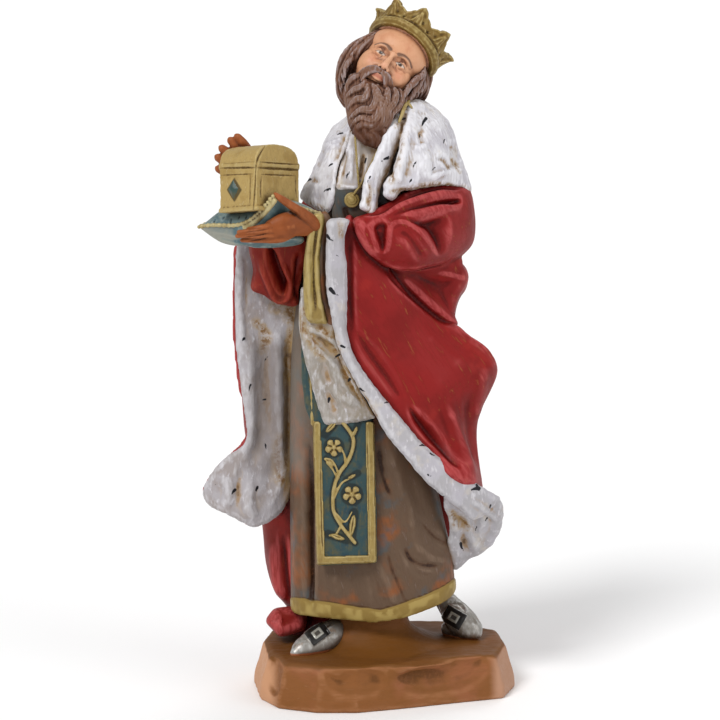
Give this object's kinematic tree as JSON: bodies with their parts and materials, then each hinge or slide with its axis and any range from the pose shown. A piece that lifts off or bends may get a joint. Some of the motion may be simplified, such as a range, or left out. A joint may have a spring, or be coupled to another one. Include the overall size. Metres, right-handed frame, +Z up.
{
  "type": "nativity wise man figurine",
  "caption": "Moulded nativity king standing on a rock plinth, in an ermine-lined cloak and crown, holding a small chest on a cushion.",
  "frame": {"origin": "centre of the plinth's flat underside", "axes": "+Z up through the figure, -Y the way the figure faces, +X to its left hand (the viewer's right)"},
  "size_m": [0.1356, 0.0935, 0.2996],
  "materials": {
    "painted_casting": "hand-painted moulded resin with a brown antiquing wash, half gloss"
  },
  "bodies": {
    "root": {"figurine": "painted_casting"}
  },
  "joints": []
}
